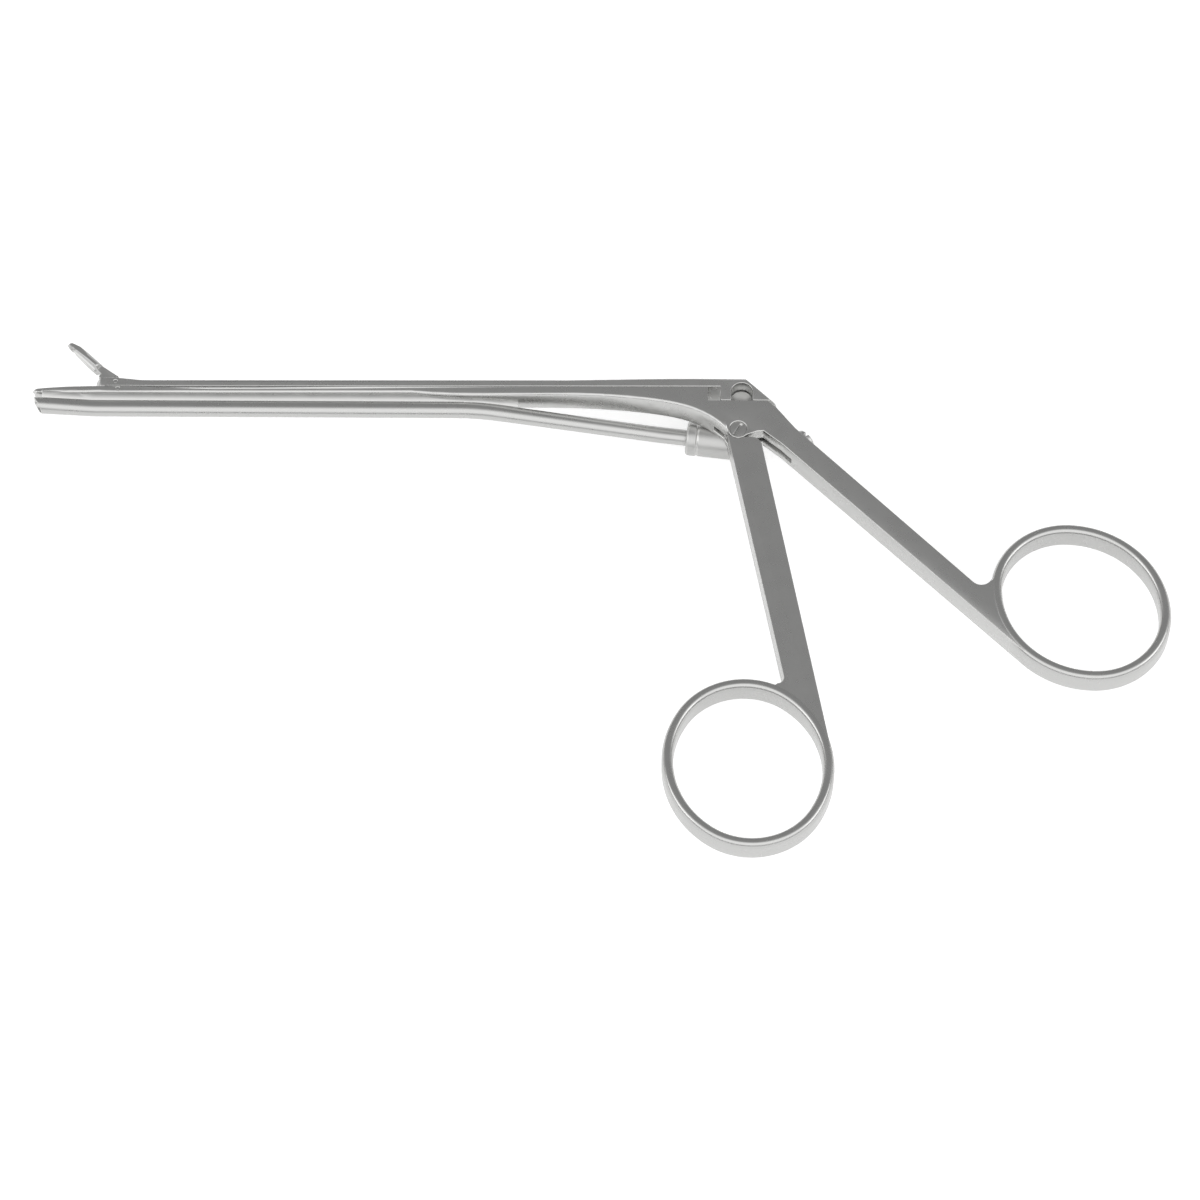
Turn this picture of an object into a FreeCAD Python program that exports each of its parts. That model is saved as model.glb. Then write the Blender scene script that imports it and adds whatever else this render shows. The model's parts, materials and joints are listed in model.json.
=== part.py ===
import FreeCAD, Part
import math
import os
from FreeCAD import Placement, Rotation, Vector

# Nasal suction forceps, lying on one side with the jaws open.
# Millimetres. X runs from the jaws to the finger rings, Y across the handles, Z is up.
# Every piece is drawn round the pivot screw, and the whole is then moved so that
# the origin lies under the middle of the instrument, on the surface it rests on.

# Shaft
reach = 129.9                 # pivot screw to nose
slide_level = 9.0             # guide plane of the sliding bar above the pivot screw
bar_height = 1.3
bar_width = 4.0
slider_height = 1.55
slider_rise = 0.4             # how much taller the slider is over the head
knuckle_rise = 0.3            # raised knuckle over the link pin
slider_front_back = 11.6      # the slider starts this far behind the nose
rear_round_radius = 4.6       # across the slider's back
slider_shoulder = 3.6         # round over the head, between the slider's top and its back
taper_front = 34.9            # bar and slider start to widen this far behind the nose
edge_round = 0.6              # lower edges of the bar and upper edges of the slider
foot_edge_round = 0.2
running_gap = 0.05

# Head and handles
body_thickness = 5.3
head_level = 6.05             # top of the head behind the travel window
window_front = 5.5            # ahead of the pivot
window_length = 2.36
head_back = 5.86
lobe_radius = 2.0
shank_width_front = 5.7
shank_width_rear = 4.2
front_angle = 79.3            # handle directions below the shaft, at rest
rear_angle = 45.6
front_shank_side = 0.75       # middle of each shank beside the pivot, across the handle
rear_shank_side = 5.5

# Finger rings: four-centre ovals
ring_long = 16.05             # half axes of the middle line of the rim
ring_short = 14.25
ring_end_shift = 3.0          # centres of the end arcs
rim_width = 2.1
rim_depth = 5.0
rim_corner = 0.5
front_ring_reach = 68.2       # pivot to ring centre, along the handle
rear_ring_reach = 68.75
front_web_fillet = 1.2
rear_web_fillet = 2.0

# Drive
travel = 2.2                  # slider stroke
lever_arm = 7.8
lever_lean = 5.4              # the lever head leans back by this at rest
head_radius = 1.95
notch_clearance = 0.06
tongue_thickness = 1.35
slot_width = 1.45
near_cheek = 2.6
screw_radius = 1.0
screw_head_radius = 1.55
screw_head_height = 0.9
driver_slot = 0.5

# Jaws
jaw_open = 44.5
jaw_pivot_back = 15.7         # behind the nose
jaw_pivot_level = 8.45
jaw_tip_back = 1.35           # closed upper jaw ends this far behind the nose
jaw_heel_back = 9.25
jaw_height = 1.45
jaw_width = 3.6
jaw_gap = 0.06
cup_radius = 1.15
cup_sink = 0.35
rim_straight = 4.4            # the rim starts to dip this far behind the nose
rim_dip = 0.12
link_level = 10.0
link_lead = 0.45              # link pin ahead of the jaw pivot at rest
jaw_pin_radius = 0.35
eye_radius = 0.68
tang_wall = 0.36              # metal left round the slot in the tang
link_pin_radius = 0.35
cam_clearance = 0.09
tang_thickness = 1.1
fork_slot = 1.24

# Guide between the slider and the bar
rail_neck = 1.0
rail_neck_height = 0.35
rail_head = 2.0
rail_head_height = 0.4

# Suction
tube_radius = 1.5
tube_wall = 0.25
tube_level = 5.3
tube_leave = 48.0             # the tube leaves the shaft this far ahead of the pivot
tip_lift = 0.65
tip_run = 11.5
tube_bends = [30.0, 45.0, 18.0]
connector_radius = 3.2
connector_length = 13.0
connector_front = 9.3
connector_level = 3.1
connector_slope = 7.1
socket_radius = 2.1
socket_length = 9.0
connector_chamfer = 0.35
collar_length = 1.8
saddle_width = 3.0
saddle_foot_width = 1.9
saddle_hang = 0.5             # how far the strip reaches down beside the tube
saddle_tail = 7.5

# Stop screw
stop_along = 9.1              # along the rear handle, from the pivot
stop_radius = 0.6
stop_head_radius = 1.95
stop_head_height = 1.25
stop_depth = -0.35

half_body = body_thickness / 2
half_bar = bar_width / 2
nose = -reach
bar_bottom = slide_level - bar_height
slider_bottom = slide_level + running_gap
slider_top = slide_level + slider_height
slider_crown = slider_top + slider_rise
squeeze = math.degrees(travel / lever_arm)
jaw_pivot = Vector(nose + jaw_pivot_back, jaw_pivot_level, 0)
link_pin_place = Vector(jaw_pivot.x - link_lead, link_level, 0)
slot_top = half_body - near_cheek
slot_floor = slot_top - slot_width
tongue_top = slot_top - (slot_width - tongue_thickness) / 2
tongue_floor = tongue_top - tongue_thickness
connector_depth = half_body + connector_radius


def line(a, b):
    return Part.LineSegment(a, b).toShape()


def at(x, y):
    return Vector(x, y, 0)


def polar(radius, degrees):
    turn = math.radians(degrees)
    return at(radius * math.cos(turn), radius * math.sin(turn))


def slab(edges, low, high):
    """A flat outline in the XY plane, given as edges or corners, between two heights."""
    if isinstance(edges[0], Vector):
        wire = Part.makePolygon(edges + [edges[0]])
    else:
        wire = Part.Wire(Part.__sortEdges__(edges))
    wire.translate(Vector(0, 0, low))
    return Part.Face(wire).extrude(Vector(0, 0, high - low))


def box(x, y, z):
    """A box from three (low, high) pairs."""
    corner = Vector(x[0], y[0], z[0])
    return Part.makeBox(x[1] - x[0], y[1] - y[0], z[1] - z[0], corner)


def plan_outline(edges, low, high):
    """A plan outline drawn with its Y standing for depth, extruded across the shaft."""
    shape = slab(edges, low, high)
    shape.rotate(Vector(), Vector(1, 0, 0), -90)
    return shape


def along_handle(shape, angle):
    """Turns a piece drawn with its handle along +X to its place below the shaft."""
    shape.rotate(Vector(), Vector(0, 0, 1), -angle)
    return shape


def ends_in(edge, x, y):
    return all(x[0] <= v.X <= x[1] and y[0] <= v.Y <= y[1] for v in edge.Vertexes)


def oval_arcs(grow=0.0):
    """Centre, radius and start and end angles of the four arcs of a ring."""
    reach_over = ring_short - ring_long + ring_end_shift
    side_shift = (ring_end_shift ** 2 - reach_over ** 2) / (2 * reach_over)
    turn = math.degrees(math.atan2(side_shift, ring_end_shift))
    end_radius = ring_long - ring_end_shift + grow
    side_radius = ring_short + side_shift + grow
    return [
        (at(ring_end_shift, 0), end_radius, -turn, turn),
        (at(0, -side_shift), side_radius, turn, 180 - turn),
        (at(-ring_end_shift, 0), end_radius, 180 - turn, 180 + turn),
        (at(0, side_shift), side_radius, 180 + turn, 360 - turn),
    ]


def rim_section(radius):
    """Rounded rectangle standing in the XZ plane at this distance from the axis."""
    across = rim_width / 2 - rim_corner
    up = rim_depth / 2 - rim_corner
    edges = []
    last = None
    for start, x, z in ((0, across, up), (90, -across, up), (180, -across, -up), (270, across, -up)):
        turns = [math.radians(start + step) for step in (0, 45, 90)]
        places = [Vector(radius + x + rim_corner * math.cos(t), 0, z + rim_corner * math.sin(t)) for t in turns]
        if last:
            edges.append(line(last, places[0]))
        edges.append(Part.Arc(*places).toShape())
        last = places[-1]
    edges.append(line(last, edges[0].Vertexes[0].Point))
    return Part.Face(Part.Wire(edges))


def ring_rim():
    """The rim: its section carried round the four arcs."""
    pieces = []
    for centre, radius, start, end in oval_arcs():
        face = rim_section(radius)
        face.rotate(Vector(), Vector(0, 0, 1), start)
        arc = face.revolve(Vector(), Vector(0, 0, 1), end - start)
        arc.translate(centre)
        pieces.append(arc)
    return pieces[0].multiFuse(pieces[1:]).removeSplitter()


def oval_slab(grow):
    edges = []
    for centre, radius, start, end in oval_arcs(grow):
        circle = Part.Circle(centre, Vector(0, 0, 1), radius)
        edges.append(Part.Arc(circle, math.radians(start), math.radians(end)).toShape())
    return slab(edges, -half_body, half_body)


def shank_taper(start, meet, end):
    """Depth of a shank along its length: full beside the head, as deep as the rim at the ring."""
    rim = rim_depth / 2
    upper = [at(start, half_body), at(start + 18, half_body), at(meet - 3, rim), at(end, rim)]
    lower = [Vector(v.x, -v.y, 0) for v in reversed(upper)]
    corners = upper + lower
    edges = [line(a, b) for a, b in zip(corners, corners[1:] + corners[:1])]
    return plan_outline(edges, -60, 60)


def web_outline(start, near, far, ring_side, web_side, reach_along, fillet):
    """Plan of a shank and its web: one straight edge runs into the rim, the other meets it in a fillet."""
    end_centre = at(reach_along - ring_end_shift, ring_side)
    rim_radius = ring_long - ring_end_shift + rim_width / 2
    drop = near - web_side * fillet - ring_side
    back = math.sqrt((rim_radius + fillet) ** 2 - drop ** 2)
    centre = end_centre + at(-back, drop)
    on_edge = at(centre.x, near)
    on_rim = end_centre + (centre - end_centre) * (rim_radius / (rim_radius + fillet))
    bow = ((on_edge - centre).normalize() + (on_rim - centre).normalize()).normalize()
    corners = [on_rim, end_centre, at(reach_along, ring_side), at(reach_along, far)]
    corners += [at(start, far), at(start, near), on_edge]
    edges = [line(a, b) for a, b in zip(corners, corners[1:])]
    edges.append(Part.Arc(on_edge, centre + bow * fillet, on_rim).toShape())
    return edges


def shank(side, width, start, web_side, reach_along, fillet):
    """A handle's shank along +X, with the web that runs into the rim on one side."""
    ring_side = side + web_side * (width / 2 - ring_short - rim_width / 2)
    near = side - web_side * width / 2
    far = side + web_side * width / 2
    outline = web_outline(start, near, far, ring_side, web_side, reach_along, fillet)
    blank = slab(outline, -half_body, half_body)
    blank = blank.common(shank_taper(start, reach_along - ring_long, reach_along + 1))
    hole = oval_slab(0)
    hole.translate(at(reach_along, ring_side))
    rim = ring_rim()
    rim.translate(at(reach_along, ring_side))
    return blank.cut(hole).fuse(rim)


def rear_handle():
    start = 2.0
    handle = shank(rear_shank_side, shank_width_rear, start, -1, rear_ring_reach, rear_web_fillet)
    return along_handle(handle, rear_angle)


def width_outline(tip, points):
    """Plan of the shaft pieces: a round front at tip, then (X, half width) points to the full width of the head."""
    left = [at(x, half) for x, half in points] + [at(nose + taper_front, half_bar), at(-25, half_body), at(reach, half_body)]
    right = [at(p.x, -p.y) for p in reversed(left)]
    edges = [line(a, b) for a, b in zip(left, left[1:])]
    edges.append(line(left[-1], right[0]))
    edges += [line(a, b) for a, b in zip(right, right[1:])]
    edges.append(Part.Arc(right[-1], at(tip, 0), left[0]).toShape())
    return edges


def rim_line_edges(lift):
    """The biting rim seen from the side: straight, then dipping towards the nose."""
    start = at(nose + jaw_heel_back, slide_level + lift)
    bend = at(nose + rim_straight, slide_level + lift)
    middle = at(nose + rim_straight * 0.45, slide_level - rim_dip * 0.3 + lift)
    tip = at(nose, slide_level - rim_dip + lift)
    return [line(start, bend), Part.Arc(bend, middle, tip).toShape()]


def body_outline():
    """Side outline of the bar, the lower jaw and the head."""
    nose_top = at(nose, slide_level - rim_dip)
    nose_low = at(nose + 0.35, slide_level - 0.8)
    bow = at(nose + 9.0, bar_bottom)
    belly = Part.BSplineCurve()
    belly.interpolate([
        at(-60, bar_bottom), at(-34, bar_bottom - 0.5), at(-16, bar_bottom - 1.65),
        at(-8.6, bar_bottom - 3.4), at(-1.75, -0.62),
    ])
    lobe_start = polar(lobe_radius, -140)
    lobe_end = polar(lobe_radius, -42)
    crook = [at(3.5, -0.55), at(4.6, -0.45)]
    low_side = rear_shank_side - shank_width_rear / 2
    back_side = rear_shank_side + shank_width_rear / 2
    turn = Rotation(Vector(0, 0, 1), -rear_angle)
    low_in = turn.multVec(at(8.0, low_side))
    low_out = turn.multVec(at(12.0, low_side))
    back_out = turn.multVec(at(12.0, back_side))
    back_in = turn.multVec(at(7.2, back_side))
    back_top = turn.multVec(at(1.75, back_side + 0.65))
    corners = [
        (nose_top, nose_low), (bow, at(-60, bar_bottom)),
        (at(-1.75, -0.62), lobe_start), (lobe_end, crook[0]), (crook[0], crook[1]),
        (crook[1], low_in), (low_in, low_out), (low_out, back_out),
        (back_out, back_in), (back_in, back_top), (back_top, at(head_back, head_level - 0.3)),
        (at(head_back, head_level - 0.3), at(head_back - 0.3, head_level)),
        (at(head_back - 0.3, head_level), at(-window_front, head_level)),
        (at(-window_front, head_level), at(-window_front, slide_level)),
        (at(-window_front, slide_level), at(nose + jaw_heel_back, slide_level)),
    ]
    edges = [line(a, b) for a, b in corners]
    edges.append(belly.toShape())
    edges.append(Part.Arc(nose_low, at(nose + 4.2, bar_bottom + 0.17), bow).toShape())
    edges.append(Part.Arc(lobe_start, polar(lobe_radius, -90), lobe_end).toShape())
    return edges + rim_line_edges(0)


def guide(slack):
    """The T-shaped rail under the slider, or with slack the groove for it."""
    start = nose + 20.6 if slack else nose + 23
    end = -window_front + 1 if slack else -window_front - 0.8
    top = slide_level + 0.5
    neck = box((start, end), (slide_level - rail_neck_height - 0.1, top),
               (-rail_neck / 2 - slack, rail_neck / 2 + slack))
    low = slide_level - rail_neck_height - rail_head_height
    head = box((start, end), (low - slack, low + rail_head_height + slack),
               (-rail_head / 2 - slack, rail_head / 2 + slack))
    return neck.fuse(head)


def cup(level, side):
    """The hollow of a jaw: a round trough with round ends. side is -1 below the rim and 1 above."""
    front = nose + 3.0
    back = nose + 8.0
    middle = level - side * cup_sink
    trough = Part.makeCylinder(cup_radius, back - front, Vector(front, middle, 0), Vector(1, 0, 0))
    ends = [Part.makeSphere(cup_radius, Vector(x, middle, 0)) for x in (front, back)]
    return trough.multiFuse(ends)


def tongue_slot():
    """The sawn slot through the head that the lever's tongue moves in."""
    corners = [
        at(-3.7, head_level + 1), at(3.1, head_level + 1), at(3.1, 4.6), at(10.2, -4.2),
        at(9.0, -6.5), at(4.0, -6.5), at(-6.0, -3.0), at(-4.4, 1.5),
    ]
    return slab(corners, slot_floor, slot_top)


def tube_path():
    """Corner points of the suction tube, from the tip to inside the connector."""
    slope = math.tan(math.radians(connector_slope))
    entry = Vector(-connector_front - 5.2, connector_level + 5.2 * slope, -connector_depth)
    inside = Vector(-connector_front + 3.6, connector_level - 3.6 * slope, -connector_depth)
    return [
        Vector(nose + 0.2, tube_level + tip_lift, 0), Vector(nose + tip_run, tube_level, 0),
        Vector(-tube_leave, tube_level, 0), entry, inside,
    ]


def rounded_path(points, radii):
    """Straight runs joined by tangent arcs."""
    edges = []
    start = points[0]
    for before, corner, after, radius in zip(points, points[1:], points[2:], radii):
        back = (before - corner).normalize()
        ahead = (after - corner).normalize()
        half = back.getAngle(ahead) / 2
        reach_back = radius / math.tan(half)
        enter = corner + back * reach_back
        leave = corner + ahead * reach_back
        bisector = (back + ahead).normalize()
        middle = corner + bisector * (radius / math.sin(half) - radius)
        edges.append(line(start, enter))
        edges.append(Part.Arc(enter, middle, leave).toShape())
        start = leave
    edges.append(line(start, points[-1]))
    return Part.Wire(edges)


def swept_disc(radius, points, radii):
    wire = rounded_path(points, radii)
    disc = Part.Circle(points[0], points[1] - points[0], radius).toShape()
    return wire.makePipeShell([Part.Wire([disc])], True, False)


def suction_tube():
    points = tube_path()
    outer = swept_disc(tube_radius, points, tube_bends)
    inner = swept_disc(tube_radius - tube_wall, points, tube_bends)
    tube = outer.cut(inner)
    bevel = box((nose - 6, nose), (0, 12), (-5, 5))
    bevel.rotate(Vector(nose, tube_level + tip_lift + tube_radius, 0), Vector(0, 0, 1), 30)
    return tube.cut(bevel)


def tube_saddle(body):
    """Brazed strip between the bar and the tube, following the tube at both ends."""
    points = tube_path()
    rise = points[1] - points[0]
    start = points[0] + rise.normalize() * 1.6
    leave = points[3] - points[2]
    tail = points[2] + leave.normalize() * saddle_tail
    wire = rounded_path([start, points[1], points[2], tail], tube_bends[:2])
    low = start.y + tube_radius - saddle_hang
    high = start.y + bar_bottom - tube_level
    foot = saddle_foot_width / 2
    half = saddle_width / 2
    section = Part.makePolygon([
        Vector(start.x, low, -foot), Vector(start.x, high, -half),
        Vector(start.x, high, half), Vector(start.x, low, foot), Vector(start.x, low, -foot),
    ])
    strip = wire.makePipeShell([section], True, False)
    bore = swept_disc(tube_radius, points, tube_bends)
    tang_room = box((nose + 9, nose + 18), (bar_bottom, slide_level), (-half, half))
    return strip.cut(bore).cut(body).cut(tang_room)


def suction_connector():
    """Turned hub along +X at its front face, then sloped and laid against the far cheek."""
    r = connector_radius
    c = connector_chamfer
    profile = [
        Vector(0, tube_radius, 0), Vector(0, r - c, 0), Vector(c, r, 0), Vector(collar_length, r, 0),
        Vector(collar_length + 0.15, r - 0.2, 0), Vector(collar_length + 0.35, r - 0.2, 0),
        Vector(collar_length + 0.5, r - 0.05, 0), Vector(connector_length - 0.35, r - 0.05, 0),
        Vector(connector_length, r - 0.4, 0), Vector(connector_length, socket_radius, 0),
        Vector(connector_length - socket_length, socket_radius, 0),
        Vector(connector_length - socket_length, tube_radius, 0), Vector(0, tube_radius, 0),
    ]
    face = Part.Face(Part.makePolygon(profile))
    hub = face.revolve(Vector(), Vector(1, 0, 0), 360)
    hub.rotate(Vector(), Vector(0, 0, 1), -connector_slope)
    hub.translate(Vector(-connector_front, connector_level, -connector_depth))
    return hub


def pivot_screw(slack=0.0):
    """Countersunk screw from the near side. With slack it is the hole for the screw."""
    r = screw_radius + slack
    head = screw_head_radius + slack
    top = half_body + (0.5 if slack else 0)
    floor = -half_body - (0.5 if slack else 0)
    shoulder = half_body - screw_head_height
    profile = [
        Vector(0, 0, floor), Vector(r, 0, floor), Vector(r, 0, shoulder), Vector(head, 0, half_body - 0.35),
        Vector(head, 0, top), Vector(0, 0, top), Vector(0, 0, floor),
    ]
    screw = Part.Face(Part.makePolygon(profile)).revolve(Vector(), Vector(0, 0, 1), 360)
    if slack:
        return screw
    notch = box((-3, 3), (-driver_slot / 2, driver_slot / 2), (half_body - 0.55, half_body + 1))
    return screw.cut(notch)


def stop_screw(slack=0.0):
    """Screw through the rear handle's back into the end of the tongue slot."""
    back = rear_shank_side + shank_width_rear / 2
    tip = back - 2.6
    middle = stop_depth
    stem = Part.makeCylinder(stop_radius + slack, back - tip + slack, at(stop_along, tip - slack), Vector(0, 1, 0))
    stem.translate(Vector(0, 0, middle))
    if slack:
        return along_handle(stem, rear_angle)
    head = Part.makeCylinder(stop_head_radius, stop_head_height, at(stop_along, back), Vector(0, 1, 0))
    top = back + stop_head_height
    rim = [e for e in head.Edges if abs(e.BoundBox.YMin - top) < 0.01 and e.BoundBox.YLength < 0.01]
    head = head.makeFillet(0.3, rim)
    slot = box((stop_along - 0.3, stop_along + 0.3), (top - 0.6, top + 1), (-4, 4))
    head = head.cut(slot)
    head.translate(Vector(0, 0, middle))
    return along_handle(stem.fuse(head), rear_angle)


def long_side_edges(shape):
    """Edges that run along one cheek, clear of the middle plane."""
    return [e for e in shape.Edges if e.Length > 3 and e.BoundBox.ZMax * e.BoundBox.ZMin > 0]


def fixed_body():
    body = slab(body_outline(), -half_body, half_body)
    nose_plan = [(nose + 1.15, 1.15), (nose + 6.5, half_bar - 0.25), (nose + 12.5, half_bar)]
    body = body.common(plan_outline(width_outline(nose, nose_plan), -60, 40))
    edges = [e for e in long_side_edges(body) if ends_in(e, (nose + 1.0, -1), (-1, bar_bottom + 0.9))]
    body = body.makeFillet(edge_round, [e for e in edges if e.BoundBox.YMax < slide_level - 0.5])
    body = body.fuse(rear_handle())
    body = body.cut(guide(running_gap))
    body = body.cut(tongue_slot())
    half_fork = fork_slot / 2
    tang_space = box((nose + 10.2, nose + 18.0), (bar_bottom - 0.5, slide_level + 1), (-half_fork, half_fork))
    body = body.cut(tang_space)
    body = body.cut(cup(slide_level, -1))
    body = body.cut(pin(jaw_pivot, jaw_pin_radius, 2 * half_body))
    body = body.cut(pivot_screw(0.03))
    body = body.cut(stop_screw(0.001))
    seat = swept_disc(tube_radius, tube_path(), tube_bends)
    return body.cut(seat).removeSplitter()


def slide_bar():
    """The sliding bar: a fork in front, foot with the lever notch behind."""
    front = nose + slider_front_back
    foot_front = -window_front + window_length
    foot_level = head_level + running_gap
    low = at(front, slider_bottom)
    lip = at(front, slider_bottom + 0.55)
    crown = at(front + 1.15, slider_top + knuckle_rise)
    knuckle_back = front + 5.0
    lip_middle = at(front + 0.3, slider_top - 0.05)
    bevel_top = at(2.3, slider_crown)
    bevel_low = at(7.2, foot_level)
    corners = [
        (low, lip), (crown, at(knuckle_back - 1.5, slider_top + knuckle_rise)),
        (at(knuckle_back - 1.5, slider_top + knuckle_rise), at(knuckle_back + 1.0, slider_top)),
        (at(knuckle_back + 1.0, slider_top), at(-34, slider_top)),
        (at(-8, slider_crown), bevel_top), (bevel_top, bevel_low),
        (bevel_low, at(foot_front, foot_level)), (at(foot_front, foot_level), at(foot_front, slider_bottom)),
        (at(foot_front, slider_bottom), low),
    ]
    edges = [line(a, b) for a, b in corners]
    edges.append(Part.Arc(lip, lip_middle, crown).toShape())
    rise = Part.BezierCurve()
    rise.setPoles([at(-34, slider_top), at(-24, slider_top), at(-18, slider_crown), at(-8, slider_crown)])
    edges.append(rise.toShape())
    slider = slab(edges, -half_body, half_body)
    front_plan = [(front + 0.9, half_bar - 0.25), (front + 2.2, half_bar)]
    slider = slider.common(plan_outline(width_outline(front, front_plan), -60, 40))
    tops = (slider_top - 0.05, slider_crown + 0.1)
    top_edges = [e for e in long_side_edges(slider) if ends_in(e, (knuckle_back, 3), tops)]
    slider = slider.makeFillet(edge_round, top_edges)
    slider = slider.cut(rear_round(bevel_top, bevel_low)).cut(shoulder_waste(bevel_top, bevel_low))
    slider = soften_foot(slider, front, foot_front)
    slider = slider.fuse(guide(0))
    half_fork = fork_slot / 2
    slider = slider.cut(box((front - 1, nose + 18.4), (slide_level - 1, slider_crown + 1), (-half_fork, half_fork)))
    slider = slider.cut(pin(link_pin_place, link_pin_radius, 2 * half_body))
    return slider.cut(lever_notch()).removeSplitter()


def shoulder_waste(top, low):
    """What is taken off the corner over the lever head so that the slider's back rounds into its bevel."""
    way = (low - top).normalize()
    turn = math.acos(way.x)
    reach_back = slider_shoulder * math.tan(turn / 2)
    start = at(top.x - reach_back, top.y)
    end = top + way * reach_back
    half = polar(slider_shoulder, 90 - math.degrees(turn) / 2)
    middle = start - at(0, slider_shoulder) + half
    clear = at(1.5, 1.5)
    corners = [end, end + clear, start + clear, start]
    edges = [line(a, b) for a, b in zip(corners, corners[1:])]
    edges.append(Part.Arc(start, middle, end).toShape())
    return slab(edges, -half_body - 1, half_body + 1)


def soften_foot(slider, front, foot_front):
    """Rounds the slider's two lower long edges, which show as a light line over the bar."""
    run = (front + 2, foot_front + 0.1)
    level = (slider_bottom - 0.01, slider_bottom + 0.01)
    return slider.makeFillet(foot_edge_round, [e for e in long_side_edges(slider) if ends_in(e, run, level)])


def rear_round(top, low):
    """What is taken off the slider's rear so that it ends in a full round."""
    way = (low - top).normalize()
    block = Part.makeBox(20, 6, 12, Vector(-6, -6, -6))
    drum = Part.makeCylinder(rear_round_radius, 40, Vector(-20, -rear_round_radius, 0), Vector(1, 0, 0))
    waste = block.cut(drum)
    waste = waste.common(Part.makeBox(20, 1.2, 12, Vector(-6, -1.2, -6)))
    waste.Placement = Placement(top, Rotation(Vector(1, 0, 0), way))
    return waste


def lever_head_place(degrees=0.0):
    return polar(lever_arm, 90 - lever_lean + degrees)


def lever_notch():
    """Half-round notch across the slider's foot for the lever's round head."""
    centre = lever_head_place()
    radius = head_radius + notch_clearance
    lift = 0.08
    side = half_body + 1
    drum = pin(at(centre.x, centre.y + lift), radius, 2 * side)
    mouth = box((centre.x - radius, centre.x + radius), (head_level - 1, centre.y + lift), (-side, side))
    return drum.fuse(mouth)


def front_handle():
    """Lever with its finger ring, a thin tongue in the head and a round head in the slider."""
    handle = shank(front_shank_side, shank_width_front, 0.0, 1, front_ring_reach, front_web_fillet)
    handle = along_handle(handle, front_angle)
    clear = lobe_radius + 0.1
    shoulder = [
        polar(30, 178), polar(clear, 178), polar(clear, 200), polar(clear, 230), polar(clear, 260),
        polar(clear, -78), polar(clear, -61), at(2.6, -1.75), at(3.6, -2.1), at(4.3, -3.2),
        at(4.75, -5.0), at(5.3, -8), at(30, -8), polar(40, 40),
    ]
    handle = handle.cut(slab(shoulder, -half_body - 3, half_body + 3))
    lobe_room = Part.makeCylinder(clear, 4 * half_body, Vector(0, 0, -2 * half_body))
    handle = handle.cut(lobe_room)
    boss = Part.makeCylinder(lobe_radius + 0.55, tongue_thickness, Vector(0, 0, tongue_floor))
    head_place = lever_head_place()
    head = Part.makeCylinder(head_radius, tongue_thickness, head_place + Vector(0, 0, tongue_floor))
    neck = [at(-1.6, 0), at(2.0, 0), head_place + at(1.25, -1.0), head_place + at(-1.25, -1.0)]
    turn = Rotation(Vector(0, 0, 1), -front_angle)
    half = shank_width_front / 2 - 0.3
    sides = (front_shank_side - half, front_shank_side + half)
    root = [turn.multVec(at(8.5, side)) for side in sides] + [at(2.4, -0.6), at(-2.2, -0.9)]
    tongue = boss.multiFuse([head] + [slab(outline, tongue_floor, tongue_top) for outline in (neck, root)])
    handle = handle.fuse(tongue)
    bore = Part.makeCylinder(screw_radius + running_gap, 4 * half_body, Vector(0, 0, -2 * half_body))
    return handle.cut(bore).removeSplitter()


def link_path():
    """Where the link pin runs in the closed jaw, from rest to shut."""
    places = []
    for share in (-0.03, 0.5, 1.03):
        pin_place = link_pin_place - Vector(travel * share, 0, 0) - jaw_pivot
        places.append(Rotation(Vector(0, 0, 1), jaw_open * (1 - share)).multVec(pin_place) + jaw_pivot)
    return places


def cam_band(radius, depth):
    """A curved band with round ends along the link pin's path."""
    places = link_path()
    path = Part.Arc(*places).toShape().Curve
    low = Vector(0, 0, -depth / 2)
    band = Part.makeCylinder(path.Radius + radius, depth, path.Center + low)
    band = band.cut(Part.makeCylinder(path.Radius - radius, depth, path.Center + low))
    corners = [path.Center] + [path.Center + (p - path.Center) * 3 for p in places]
    ends = [Part.makeCylinder(radius, depth, p + low) for p in (places[0], places[2])]
    return band.common(slab(corners, -depth / 2, depth / 2)).multiFuse(ends)


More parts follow.
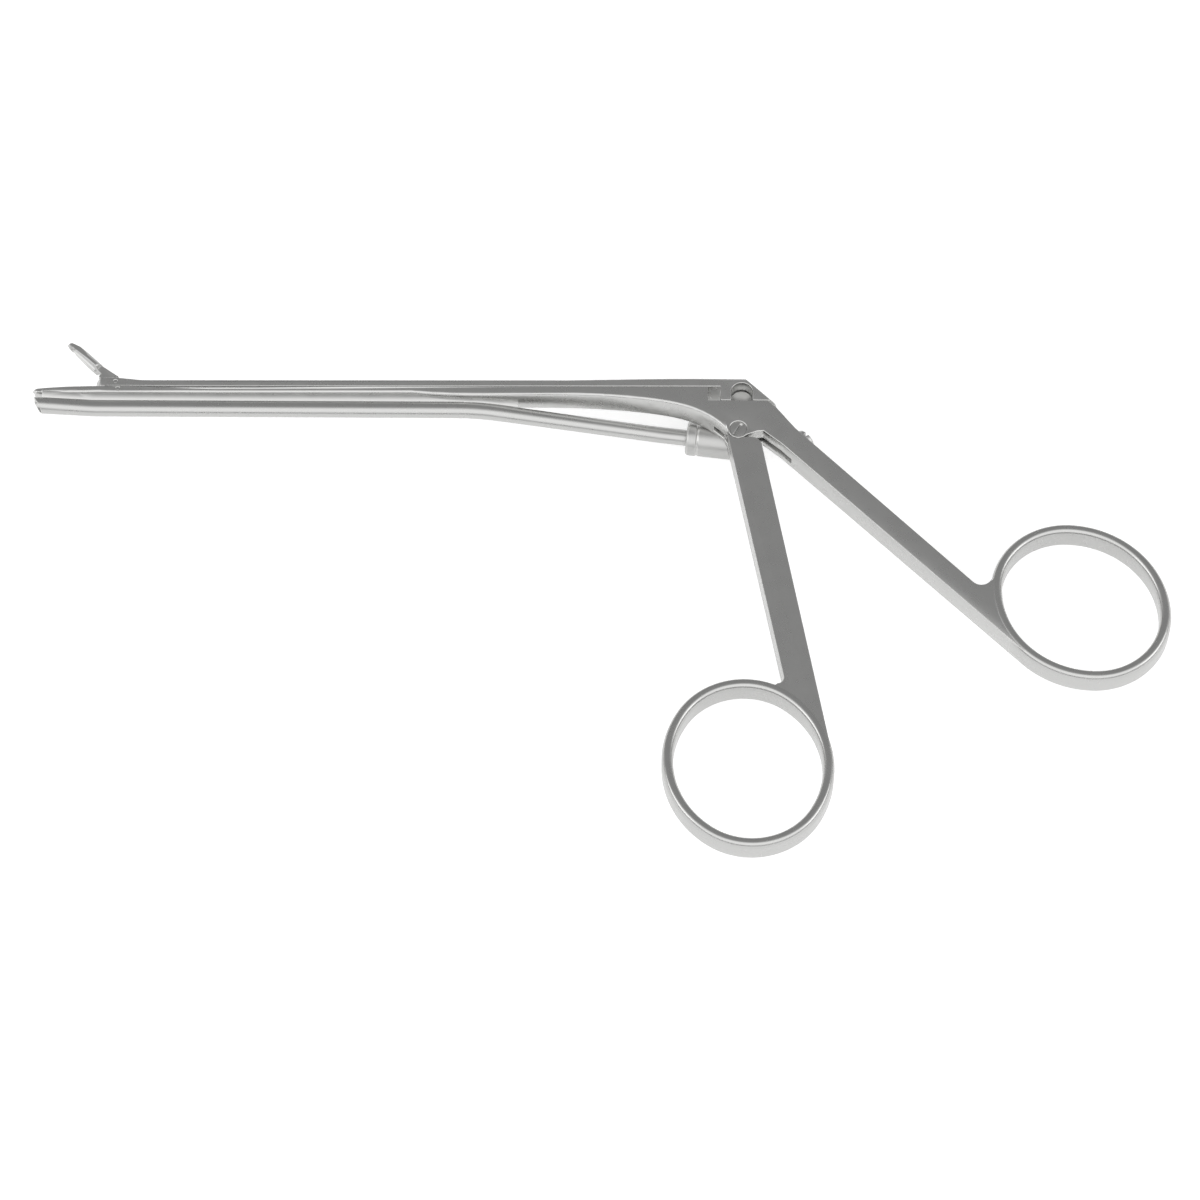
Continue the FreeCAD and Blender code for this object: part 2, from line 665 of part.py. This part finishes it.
def upper_jaw():
    """Drawn closed on the lower jaw, then opened about its pivot."""
    tip = nose + jaw_tip_back
    heel = nose + jaw_heel_back
    rim = slide_level + jaw_gap
    low_tip = at(nose, slide_level - rim_dip + jaw_gap)
    front_top = at(nose, rim + 0.2)
    heel_top = at(heel, rim + jaw_height)
    back = Part.Arc(front_top, at(nose + 4.5, rim + jaw_height * 0.8), heel_top).toShape()
    edges = rim_line_edges(jaw_gap) + [line(low_tip, front_top), back, line(heel_top, at(heel, rim))]
    jaw = slab(edges, -half_body, half_body)
    half = jaw_width / 2
    nose_half = 0.95
    left = [at(tip + nose_half, nose_half), at(tip + 5.2, half - 0.1)]
    left += [at(heel - 0.3, half), at(heel + 0.2, half - 0.4)]
    right = [at(p.x, -p.y) for p in reversed(left)]
    plan = [line(a, b) for a, b in zip(left, left[1:])]
    plan.append(line(left[-1], right[0]))
    plan += [line(a, b) for a, b in zip(right, right[1:])]
    plan.append(Part.Arc(right[-1], at(tip, 0), left[0]).toShape())
    jaw = jaw.common(plan_outline(plan, -40, 40))
    back_round = half * 1.12
    arch = Part.makeCylinder(back_round, 30, at(nose - 5, heel_top.y - back_round), Vector(1, 0, 0))
    under = box((nose - 5, nose + 25), (0, heel_top.y - half * 0.95), (-9, 9))
    jaw = jaw.common(arch.fuse(under))
    jaw = jaw.fuse(tang(rim)).cut(cup(rim, 1))
    jaw = jaw.cut(Part.makeCylinder(jaw_pin_radius + running_gap, 6, jaw_pivot - Vector(0, 0, 3)))
    jaw = jaw.cut(cam_band(link_pin_radius + cam_clearance, 6)).removeSplitter()
    jaw.rotate(jaw_pivot, Vector(0, 0, 1), -jaw_open)
    return jaw


def tang(rim):
    """The flat tongue of the upper jaw, closed position: eye for the pivot, metal round the curved slot."""
    eye = Part.makeCylinder(eye_radius, tang_thickness, jaw_pivot - Vector(0, 0, tang_thickness / 2))
    rounded = cam_band(link_pin_radius + cam_clearance + tang_wall, tang_thickness)
    start, middle, end = link_path()
    tang_front = nose + 10.5
    heel = nose + jaw_heel_back
    neck = slab([
        at(heel - 0.5, rim + jaw_height - 0.25), at(end.x, end.y + 0.78), at(start.x + 0.6, start.y + 0.4),
        jaw_pivot + polar(eye_radius, 20), jaw_pivot + polar(eye_radius, -80), at(tang_front, slide_level - 0.65),
        at(tang_front, rim), at(heel - 0.3, rim),
    ], -tang_thickness / 2, tang_thickness / 2)
    return eye.multiFuse([rounded, neck])


def pin(place, radius, length):
    return Part.makeCylinder(radius, length, place - Vector(0, 0, length / 2))


def build():
    body = fixed_body()
    return {
        "fixed_body": body,
        "slide_bar": slide_bar(),
        "upper_jaw": upper_jaw(),
        "jaw_pivot_pin": pin(jaw_pivot, jaw_pin_radius, bar_width - 0.1),
        "jaw_link_pin": pin(link_pin_place, link_pin_radius, bar_width - 0.1),
        "front_handle": front_handle(),
        "pivot_screw": pivot_screw(),
        "stop_screw": stop_screw(),
        "suction_tube": suction_tube(),
        "tube_saddle": tube_saddle(body),
        "suction_connector": suction_connector(),
    }


def resting_shift(pieces):
    """Moves the middle of the underside of the whole instrument to the origin."""
    bounds = FreeCAD.BoundBox()
    for piece in pieces.values():
        bounds.add(piece.optimalBoundingBox(False, False))
    return Vector(-bounds.Center.x, -bounds.Center.y, -bounds.ZMin)


pieces = build()
shift = resting_shift(pieces)
os.makedirs("parts", exist_ok=True)
for name, piece in pieces.items():
    piece.translate(shift)
    piece.exportStep("parts/" + name + ".step")
    print(name, "solids", len(piece.Solids), "valid", piece.isValid(), "volume", round(piece.Volume, 2))
print("pivot at", round(shift.x, 3), round(shift.y, 3), round(shift.z, 3), "squeeze", round(squeeze, 2))
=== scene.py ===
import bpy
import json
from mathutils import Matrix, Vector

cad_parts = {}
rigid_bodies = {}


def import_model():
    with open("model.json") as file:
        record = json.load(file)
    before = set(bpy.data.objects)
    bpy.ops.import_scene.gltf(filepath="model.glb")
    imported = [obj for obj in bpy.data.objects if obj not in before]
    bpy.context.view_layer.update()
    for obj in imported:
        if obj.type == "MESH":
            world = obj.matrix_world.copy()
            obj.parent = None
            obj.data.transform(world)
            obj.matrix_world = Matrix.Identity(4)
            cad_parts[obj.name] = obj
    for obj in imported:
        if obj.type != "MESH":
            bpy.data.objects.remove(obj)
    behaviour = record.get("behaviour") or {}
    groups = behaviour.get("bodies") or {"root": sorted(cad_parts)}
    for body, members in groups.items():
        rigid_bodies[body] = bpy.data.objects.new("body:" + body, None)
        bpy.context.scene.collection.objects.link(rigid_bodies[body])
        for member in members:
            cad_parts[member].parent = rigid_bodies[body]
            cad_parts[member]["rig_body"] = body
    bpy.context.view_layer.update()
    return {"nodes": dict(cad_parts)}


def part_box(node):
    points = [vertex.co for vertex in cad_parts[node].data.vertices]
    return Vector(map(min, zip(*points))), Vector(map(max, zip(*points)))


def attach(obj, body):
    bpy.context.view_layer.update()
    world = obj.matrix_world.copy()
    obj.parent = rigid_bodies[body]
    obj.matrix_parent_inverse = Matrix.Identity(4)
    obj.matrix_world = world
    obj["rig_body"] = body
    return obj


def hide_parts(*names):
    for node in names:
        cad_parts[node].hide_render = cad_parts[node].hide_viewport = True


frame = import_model()

import bpy
import bmesh
import json
import math
from mathutils import Matrix, Vector
from mathutils.bvhtree import BVHTree

print("frame loaded")

mm = 0.001
screwLow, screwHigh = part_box("pivot_screw")
pivot = (screwLow + screwHigh) / 2  # the pivot screw's middle, which everything is measured from


# shader groups, each built once and placed in the materials below

def newGroup(name, inputs, outputs):
    group = bpy.data.node_groups.new(name, "ShaderNodeTree")
    for label, kind, value in inputs:
        socket = group.interface.new_socket(label, in_out="INPUT", socket_type=kind)
        if value is not None:
            socket.default_value = value
    for label, kind in outputs:
        group.interface.new_socket(label, in_out="OUTPUT", socket_type=kind)
    return group, group.nodes.new("NodeGroupInput"), group.nodes.new("NodeGroupOutput")


def mathNode(tree, operation, a, b=None, c=None, clamp=False):
    node = tree.nodes.new("ShaderNodeMath")
    node.operation = operation
    node.use_clamp = clamp
    for slot, value in enumerate((a, b, c)):
        if value is None:
            continue
        if isinstance(value, (int, float)):
            node.inputs[slot].default_value = value
        else:
            tree.links.new(value, node.inputs[slot])
    return node.outputs[0]


def noiseNode(tree, vector, scale, detail, rough):
    node = tree.nodes.new("ShaderNodeTexNoise")
    node.inputs["Scale"].default_value = scale
    node.inputs["Detail"].default_value = detail
    node.inputs["Roughness"].default_value = rough
    tree.links.new(vector, node.inputs["Vector"])
    return node.outputs["Fac"]


grainLook = {
    "cloudScale": 260.0,      # patches some millimetres wide
    "speckScale": 6500.0,     # blasted grain
    "fineScale": 14000.0,
    "speckInTone": 0.3,
    "edgeSheenTone": 0.14,         # a rounded edge is painted this much lighter, a painted highlight
    "cloudRoughness": 0.16,
    "wornRoughness": -0.08,   # and smoother
    "speckHeight": 0.6,
    "fineHeight": 0.4,
}


def buildSteelGrain():
    group, given, out = newGroup("steelGrain", [
        ("Vector", "NodeSocketVector", None),
        ("Tone", "NodeSocketColor", (0.6, 0.6, 0.6, 1)),
        ("Roughness", "NodeSocketFloat", 0.3),
        ("Mottle", "NodeSocketFloat", 0.08),
        ("Edge Sheen And Wear", "NodeSocketFloat", 0.0),
    ], [("Color", "NodeSocketColor"), ("Roughness", "NodeSocketFloat"), ("Height", "NodeSocketFloat")])
    vector = given.outputs["Vector"]
    sheenAndWear = given.outputs["Edge Sheen And Wear"]
    cloud = mathNode(group, "SUBTRACT", noiseNode(group, vector, grainLook["cloudScale"], 4.0, 0.6), 0.5)
    speck = noiseNode(group, vector, grainLook["speckScale"], 2.0, 0.7)
    fine = noiseNode(group, vector, grainLook["fineScale"], 1.0, 0.5)
    speckAboutZero = mathNode(group, "SUBTRACT", speck, 0.5)
    both = mathNode(group, "MULTIPLY_ADD", speckAboutZero, grainLook["speckInTone"], cloud)
    gain = mathNode(group, "MULTIPLY_ADD", both, given.outputs["Mottle"], 1.0)
    # rounded edges are painted lighter here, a painted highlight; further down they are also made smoother, as
    # from wear
    gain = mathNode(group, "MULTIPLY_ADD", sheenAndWear, grainLook["edgeSheenTone"], gain)
    tint = group.nodes.new("ShaderNodeVectorMath")
    tint.operation = "SCALE"
    group.links.new(given.outputs["Tone"], tint.inputs[0])
    group.links.new(gain, tint.inputs["Scale"])
    group.links.new(tint.outputs[0], out.inputs["Color"])
    rough = mathNode(group, "MULTIPLY_ADD", cloud, grainLook["cloudRoughness"], given.outputs["Roughness"])
    rough = mathNode(group, "MULTIPLY_ADD", sheenAndWear, grainLook["wornRoughness"], rough, clamp=True)
    group.links.new(rough, out.inputs["Roughness"])
    fineHeight = mathNode(group, "MULTIPLY", fine, grainLook["fineHeight"])
    height = mathNode(group, "MULTIPLY_ADD", speck, grainLook["speckHeight"], fineHeight)
    group.links.new(height, out.inputs["Height"])
    return group


brushLook = {"density": 5200.0, "detail": 2.0, "stretch": 28.0}  # lines run this much longer than wide


def buildBrushLines():
    group, given, out = newGroup("brushLines", [
        ("Vector", "NodeSocketVector", None),
        ("Density", "NodeSocketFloat", brushLook["density"]),
    ], [("Lines", "NodeSocketFloat")])
    node = group.nodes.new("ShaderNodeTexNoise")
    node.inputs["Detail"].default_value = brushLook["detail"]
    group.links.new(given.outputs["Vector"], node.inputs["Vector"])
    group.links.new(given.outputs["Density"], node.inputs["Scale"])
    group.links.new(node.outputs["Fac"], out.inputs["Lines"])
    return group


steelGrain = buildSteelGrain()
brushLines = buildBrushLines()

finishes = {
    # lines is how strong the polishing lines are, run the way they lie in degrees, depth the grain's in mm
    "satinBody": dict(tone=0.61, roughness=0.28, mottle=0.08, lines=0.2, run=0.0, depth=0.012),
    "satinHandle": dict(tone=0.61, roughness=0.28, mottle=0.08, lines=0.2, run=-79.3, depth=0.012),
    "satinRim": dict(tone=0.57, roughness=0.26, mottle=0.08, lines=0.05, run=0.0, depth=0.008),
    "satinSlider": dict(tone=0.63, roughness=0.28, mottle=0.08, lines=0.2, run=0.0, depth=0.010),
    "satinJaw": dict(tone=0.58, roughness=0.38, mottle=0.10, lines=0.1, run=40.0, depth=0.010),
    "brightTube": dict(tone=0.57, roughness=0.28, mottle=0.06, lines=0.1, run=0.0, depth=0.006),
    "turnedHub": dict(tone=0.55, roughness=0.38, mottle=0.06, lines=0.15, run=82.9, depth=0.006),
    "brazedStrip": dict(tone=0.64, roughness=0.36, mottle=0.16, lines=0.1, run=0.0, depth=0.014),
    "screwSteel": dict(tone=0.56, roughness=0.36, mottle=0.08, lines=0.1, run=30.0, depth=0.006),
}
allSteel = {"blueShare": 0.985, "bumpStrength": 0.16}  # a trace warmer than grey


def steel(name):
    look = finishes[name]
    material = bpy.data.materials.new(name)
    material.use_nodes = True
    tree = material.node_tree
    shader = tree.nodes["Principled BSDF"]
    shader.inputs["Metallic"].default_value = 1.0
    place = tree.nodes.new("ShaderNodeTexCoord")
    turned = tree.nodes.new("ShaderNodeMapping")             # lays the polishing lines along the piece
    turned.vector_type = "TEXTURE"
    turned.inputs["Rotation"].default_value = (0, 0, math.radians(look["run"]))
    turned.inputs["Scale"].default_value = (brushLook["stretch"], 1.0, 1.0)
    tree.links.new(place.outputs["Object"], turned.inputs["Vector"])
    # the rounded edges' mark: it paints them lighter as a painted highlight and makes them smoother as wear
    edge = tree.nodes.new("ShaderNodeAttribute")
    edge.attribute_name = "edgeSheenAndWear"
    grain = tree.nodes.new("ShaderNodeGroup")
    grain.node_tree = steelGrain
    blue = look["tone"] * allSteel["blueShare"]
    grain.inputs["Tone"].default_value = (look["tone"], look["tone"], blue, 1)
    grain.inputs["Roughness"].default_value = look["roughness"]
    grain.inputs["Mottle"].default_value = look["mottle"]
    tree.links.new(place.outputs["Object"], grain.inputs["Vector"])
    tree.links.new(edge.outputs["Fac"], grain.inputs["Edge Sheen And Wear"])
    lines = tree.nodes.new("ShaderNodeGroup")
    lines.node_tree = brushLines
    lines.inputs["Density"].default_value = brushLook["density"]
    tree.links.new(turned.outputs["Vector"], lines.inputs["Vector"])
    height = mathNode(tree, "MULTIPLY_ADD", lines.outputs["Lines"], look["lines"], grain.outputs["Height"])
    bump = tree.nodes.new("ShaderNodeBump")
    bump.inputs["Strength"].default_value = allSteel["bumpStrength"]
    bump.inputs["Distance"].default_value = look["depth"] * mm
    tree.links.new(height, bump.inputs["Height"])
    tree.links.new(grain.outputs["Color"], shader.inputs["Base Color"])
    tree.links.new(grain.outputs["Roughness"], shader.inputs["Roughness"])
    tree.links.new(bump.outputs["Normal"], shader.inputs["Normal"])
    return material


steels = {name: steel(name) for name in finishes}
print("materials built")


# finished copies of the CAD pieces, with their sharp edges rounded over

edgeWork = {
    "merge": 0.002,      # mm within which the loose triangles' corners are one
    "flat": 0.8,         # degrees under which neighbouring triangles are one face
    "sharp": 35.0,       # degrees from which an edge is rounded, unless the piece says otherwise
    "smoothUnder": 3.0,  # shading goes smooth this far under that
    "steps": 2,
    "stray": 0.5,        # share of the round that a corner may stand off the piece
    "settleTurns": 12,
}
dressed = {
    # round is the width of the rounded edges in mm
    "fixed_body": {"name": "bodyFinished", "finish": "satinBody", "round": 0.13},
    "slide_bar": {"name": "sliderFinished", "finish": "satinSlider", "round": 0.11, "sharp": 58},
    "front_handle": {"name": "handleFinished", "finish": "satinHandle", "round": 0.13},
    "upper_jaw": {"name": "jawFinished", "finish": "satinJaw", "round": 0.07},
    "jaw_pivot_pin": {"name": "jawPivotFinished", "finish": "screwSteel", "round": 0.05},
    "jaw_link_pin": {"name": "linkPinFinished", "finish": "screwSteel", "round": 0.05},
    "pivot_screw": {"name": "pivotScrewFinished", "finish": "screwSteel", "round": 0.07},
    "stop_screw": {"name": "stopScrewFinished", "finish": "screwSteel", "round": 0.07},
    "suction_tube": {"name": "tubeFinished", "finish": "brightTube", "round": 0.06},
    "tube_saddle": {"name": "stripFinished", "finish": "brazedStrip", "round": 0.10},
    "suction_connector": {"name": "hubFinished", "finish": "turnedHub", "round": 0.10},
}


def putInScene(bm, name, finish, sharp):
    mesh = bpy.data.meshes.new(name)
    bm.to_mesh(mesh)
    bm.free()
    mesh.materials.append(steels[finish])
    mesh.shade_smooth()
    mesh.set_sharp_from_angle(angle=math.radians(sharp))
    obj = bpy.data.objects.new(name, mesh)
    bpy.context.scene.collection.objects.link(obj)
    return obj


# the finger rings: four arcs joined smoothly, carrying a domed rim

rims = {
    # centre in mm from the pivot screw
    "front_handle": dict(name="frontRimFinished", finish="satinRim", turn=-79.3, centre=(1.166, -69.187)),
    "fixed_body": dict(name="rearRimFinished", finish="satinRim", turn=-45.6, centre=(61.463, -36.036)),
}
oval = {"endCentre": 3.0, "sideCentre": 3.15, "endRadius": 13.05, "sideRadius": 17.4, "join": 46.4}
rimSection = {
    "half": 1.05,    # half the rim's width, between its flat walls
    "wall": 1.2,     # half the height of the walls
    "crown": 1.45,   # height of the dome over them
    "power": 2.3,    # over 2, the dome is fuller than an ellipse
    "points": 17,    # on each dome
    "step": 3.0,     # degrees between the stations
    "smooth": 32.0,
}
tuck = {"share": 0.7, "inside": 2.0, "outside": 0.08, "half": 2.5}  # the copy's rim is drawn in under the dome


def ovalArc(heading):
    # centre and radius of the arc whose outward side faces this way
    swing = (heading + 180) % 360 - 180
    if abs(swing) <= oval["join"]:
        return Vector((oval["endCentre"], 0)), oval["endRadius"]
    if abs(swing) >= 180 - oval["join"]:
        return Vector((-oval["endCentre"], 0)), oval["endRadius"]
    return Vector((0, -math.copysign(oval["sideCentre"], swing))), oval["sideRadius"]


def rimPlace(rim):
    # where the ring's own axes lie in the scene
    centre = pivot + Vector((rim["centre"][0], rim["centre"][1], 0)) * mm
    return Matrix.Translation(centre) @ Matrix.Rotation(math.radians(rim["turn"]), 4, "Z")


def tuckRim(bm, rim):
    # draws the copy's rim in a little, so that the domed rim covers it
    place = rimPlace(rim)
    back = place.inverted()
    for vert in bm.verts:
        spot = back @ vert.co / mm
        flat = spot.to_2d()
        for heading in (0, 90, 180, 270):
            centre, radius = ovalArc(heading)
            away = flat - centre
            if ovalArc(math.degrees(math.atan2(away.y, away.x))) != (centre, radius):
                continue
            off = away.length - radius
            if -tuck["inside"] < off < rimSection["half"] + tuck["outside"]:
                off = max(off, -rimSection["half"]) * tuck["share"]
                drawn = centre + away.normalized() * (radius + off)
                level = min(max(spot.z, -tuck["half"]), tuck["half"])
                vert.co = place @ (Vector((drawn.x, drawn.y, level)) * mm)
            break


def sectionPoints():
    # a dome above and one below, the walls are the straight runs between them
    points = []
    power = 2 / rimSection["power"]
    for side in (1, -1):
        for step in range(rimSection["points"]):
            turn = math.pi * step / (rimSection["points"] - 1)
            across = math.copysign(abs(math.cos(turn)) ** power, math.cos(turn)) * rimSection["half"]
            up = rimSection["wall"] + rimSection["crown"] * math.sin(turn) ** power
            points.append((side * across, side * up))
    return points


def domedRim(node, rim):
    # the section is spun round the four arcs in turn
    bm = bmesh.new()
    join = oval["join"]
    centre, radius = ovalArc(-join)
    start = Matrix.Translation(centre.to_3d()) @ Matrix.Rotation(math.radians(-join), 4, "Z")
    section = [bm.verts.new(start @ Vector((radius + across, 0, up))) for across, up in sectionPoints()]
    last = section + [bm.edges.new(pair) for pair in zip(section, section[1:] + section[:1])]
    for heading, sweep in ((0, 2 * join), (90, 180 - 2 * join), (180, 2 * join), (270, 180 - 2 * join)):
        spun = bmesh.ops.spin(bm, geom=last, cent=ovalArc(heading)[0].to_3d(), axis=(0, 0, 1),
                              angle=math.radians(sweep), steps=round(sweep / rimSection["step"]))
        last = spun["geom_last"]
    bmesh.ops.remove_doubles(bm, verts=bm.verts, dist=edgeWork["merge"] / 2)
    bmesh.ops.transform(bm, matrix=rimPlace(rim) @ Matrix.Scale(mm, 4), verts=bm.verts)
    bmesh.ops.recalc_face_normals(bm, faces=bm.faces)
    obj = putInScene(bm, rim["name"], rim["finish"], rimSection["smooth"])
    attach(obj, frame["nodes"][node]["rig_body"])


# the pivot screw's head lies a little below the cheek and is turned

screwHead = {"sunk": 0.22, "turn": 62.0, "above": 0.5}


def sinkScrew(bm):
    turned = Matrix.Rotation(math.radians(screwHead["turn"]), 4, "Z")
    for vert in bm.verts:
        vert.co = pivot + turned @ (vert.co - pivot)
        if vert.co.z > pivot.z + screwHead["above"] * mm:
            vert.co.z -= screwHead["sunk"] * mm


def settleStrays(bm, skin, limit):
    # a bevel throws some corners off where short edges meet: they go back among their neighbours
    strays = {vert for vert in bm.verts if skin.find_nearest(vert.co)[3] > limit}
    for turn in range(edgeWork["settleTurns"]):
        for vert in sorted(strays, key=lambda v: v.index):
            near = [e.other_vert(vert) for e in vert.link_edges]
            good = [v for v in near if v not in strays]
            if good:
                vert.co = sum((v.co for v in good), Vector()) / len(good)
                strays.discard(vert)


def keepInside(bm, node):
    # a rounded edge never stands outside the piece's own box
    spots = [vert.co for vert in frame["nodes"][node].data.vertices]
    low = [min(spot[axis] for spot in spots) for axis in range(3)]
    high = [max(spot[axis] for spot in spots) for axis in range(3)]
    for vert in bm.verts:
        for axis in range(3):
            vert.co[axis] = min(max(vert.co[axis], low[axis]), high[axis])


def finishedCopy(node, look):
    bm = bmesh.new()
    bm.from_mesh(frame["nodes"][node].data)
    bmesh.ops.remove_doubles(bm, verts=bm.verts, dist=edgeWork["merge"] * mm)
    flat = math.radians(edgeWork["flat"])
    bmesh.ops.dissolve_limit(bm, angle_limit=flat, verts=bm.verts, edges=bm.edges)
    sheenAndWear = bm.faces.layers.float.new("edgeSheenAndWear")
    skin = BVHTree.FromBMesh(bm)
    width = look["round"] * mm
    sharpFrom = look.get("sharp", edgeWork["sharp"])
    folded = [edge for edge in bm.edges if len(edge.link_faces) == 2]
    sharp = [edge for edge in folded if edge.calc_face_angle() > math.radians(sharpFrom)]
    rounded = bmesh.ops.bevel(bm, geom=sharp, offset=width, offset_type="OFFSET", segments=edgeWork["steps"],
                              profile=0.5, affect="EDGES", clamp_overlap=False, material=-1)
    # the rounded faces are marked to be painted lighter, a painted highlight, and made smoother, as from wear
    for face in rounded["faces"]:
        face[sheenAndWear] = 1.0
    settleStrays(bm, skin, width * edgeWork["stray"])
    keepInside(bm, node)
    bmesh.ops.triangulate(bm, faces=bm.faces)
    if node in rims:
        tuckRim(bm, rims[node])
    if node == "pivot_screw":
        sinkScrew(bm)
    bmesh.ops.recalc_face_normals(bm, faces=bm.faces)
    obj = putInScene(bm, look["name"], look["finish"], sharpFrom - edgeWork["smoothUnder"])
    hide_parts(node)
    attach(obj, frame["nodes"][node]["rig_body"])


for node, look in dressed.items():
    finishedCopy(node, look)
    if node in rims:
        domedRim(node, rims[node])
    print("dressed", node)


# floor, light and camera

studio = {
    "floorReach": 6.0,
    "floorTone": 0.86,
    "floorRoughness": 0.9,
    "floorGlow": 0.55,      # keeps the floor white for the camera
    "floorShine": 0.35,     # and light where the steel mirrors it
    "open": 1.3,            # brightness of the light tent
    "card": 0.345,          # brightness of the dark card behind it, which the flat faces mirror
    "cardLean": 52.0,       # how far the card leans from overhead towards +Y
    "cardEdge": 80.0,       # degrees from its middle where the card fades out
    "cardFull": 42.0,       # and where it is at its darkest
    "horizon": 0.3,         # brightness of the room beyond the floor
    "horizonLow": 0.08,     # sine of the elevation up to which the room is seen
    "horizonTop": 0.40,     # and from which the tent is
    "lampPower": 0.9,
    "lampSize": (0.7, 0.5),
}
softboxes = {"leftSoftbox": (-1.0, -0.1, 0.5), "rightSoftbox": (1.0, -0.1, 0.5)}


def floorMaterial():
    material = bpy.data.materials.new("paleFloor")
    material.use_nodes = True
    tree = material.node_tree
    shader = tree.nodes["Principled BSDF"]
    shader.inputs["Roughness"].default_value = studio["floorRoughness"]
    shader.inputs["Specular IOR Level"].default_value = 0.0
    shader.inputs["Base Color"].default_value = (studio["floorTone"],) * 3 + (1,)
    path = tree.nodes.new("ShaderNodeLightPath")
    glow = mathNode(tree, "MULTIPLY", path.outputs["Is Camera Ray"], studio["floorGlow"])
    glow = mathNode(tree, "MULTIPLY_ADD", path.outputs["Is Glossy Ray"], studio["floorShine"], glow)
    shader.inputs["Emission Color"].default_value = (1, 1, 1, 1)
    tree.links.new(glow, shader.inputs["Emission Strength"])
    return material


def layFloor():
    bm = bmesh.new()
    bmesh.ops.create_grid(bm, x_segments=2, y_segments=2, size=studio["floorReach"])
    mesh = bpy.data.meshes.new("studioFloor")
    bm.to_mesh(mesh)
    bm.free()
    mesh.materials.append(floorMaterial())
    floor = bpy.data.objects.new("studioFloor", mesh)
    bpy.context.scene.collection.objects.link(floor)


def lightWorld():
    world = bpy.data.worlds.new("studioWorld")
    bpy.context.scene.world = world
    world.use_nodes = True
    tree = world.node_tree
    back = tree.nodes["Background"]
    place = tree.nodes.new("ShaderNodeTexCoord")
    lean = math.radians(studio["cardLean"])
    towards = tree.nodes.new("ShaderNodeVectorMath")
    towards.operation = "DOT_PRODUCT"
    towards.inputs[1].default_value = (0, math.sin(lean), math.cos(lean))
    tree.links.new(place.outputs["Generated"], towards.inputs[0])
    ramp = tree.nodes.new("ShaderNodeMapRange")
    ramp.interpolation_type = "SMOOTHSTEP"
    ramp.inputs["From Min"].default_value = math.cos(math.radians(studio["cardEdge"]))
    ramp.inputs["From Max"].default_value = math.cos(math.radians(studio["cardFull"]))
    ramp.inputs["To Min"].default_value = studio["open"]
    ramp.inputs["To Max"].default_value = studio["card"]
    tree.links.new(towards.outputs["Value"], ramp.inputs["Value"])
    parts = tree.nodes.new("ShaderNodeSeparateXYZ")
    tree.links.new(place.outputs["Generated"], parts.inputs[0])
    room = tree.nodes.new("ShaderNodeMapRange")
    room.interpolation_type = "SMOOTHSTEP"
    room.inputs["From Min"].default_value = studio["horizonLow"]
    room.inputs["From Max"].default_value = studio["horizonTop"]
    room.inputs["To Min"].default_value = studio["horizon"]
    room.inputs["To Max"].default_value = studio["open"]
    tree.links.new(parts.outputs["Z"], room.inputs["Value"])
    light = mathNode(tree, "MINIMUM", ramp.outputs["Result"], room.outputs["Result"])
    path = tree.nodes.new("ShaderNodeLightPath")
    strength = mathNode(tree, "MAXIMUM", path.outputs["Is Camera Ray"], light)
    tree.links.new(strength, back.inputs["Strength"])
    back.inputs["Color"].default_value = (1, 1, 1, 1)


def hangLamp(name, place):
    data = bpy.data.lights.new(name, "AREA")
    data.shape = "RECTANGLE"
    data.size, data.size_y = studio["lampSize"]
    data.energy = studio["lampPower"]
    lamp = bpy.data.objects.new(name, data)
    bpy.context.scene.collection.objects.link(lamp)
    lamp.location = place
    lamp.rotation_euler = (Vector((0, 0, 0)) - Vector(place)).to_track_quat("-Z", "Y").to_euler()


photoView = {
    "aimX": -25.19,      # mm from the pivot screw to the middle of the picture
    "aimY": -34.95,
    "tilt": 30.0,        # degrees from straight above, towards the handles
    "roll": 0.26,
    "distance": 1000.0,
    "lens": 166.2,
    "sensor": 36.0,
    "near": 10.0,
}


def placeCamera():
    aim = pivot + Vector((photoView["aimX"], photoView["aimY"], 0)) * mm
    tilt = math.radians(photoView["tilt"])
    data = bpy.data.cameras.new("photoCamera")
    data.lens = photoView["lens"]
    data.sensor_width = photoView["sensor"]
    data.clip_start = photoView["near"] * mm
    camera = bpy.data.objects.new("photoCamera", data)
    bpy.context.scene.collection.objects.link(camera)
    camera.location = aim + Vector((0, -math.sin(tilt), math.cos(tilt))) * photoView["distance"] * mm
    turn = Matrix.Rotation(tilt, 4, "X") @ Matrix.Rotation(math.radians(photoView["roll"]), 4, "Z")
    camera.rotation_euler = turn.to_euler()
    bpy.context.scene.camera = camera


layFloor()
lightWorld()
for name, place in softboxes.items():
    hangLamp(name, place)
placeCamera()
bpy.context.scene.view_settings.view_transform = "Standard"
print("studio ready")
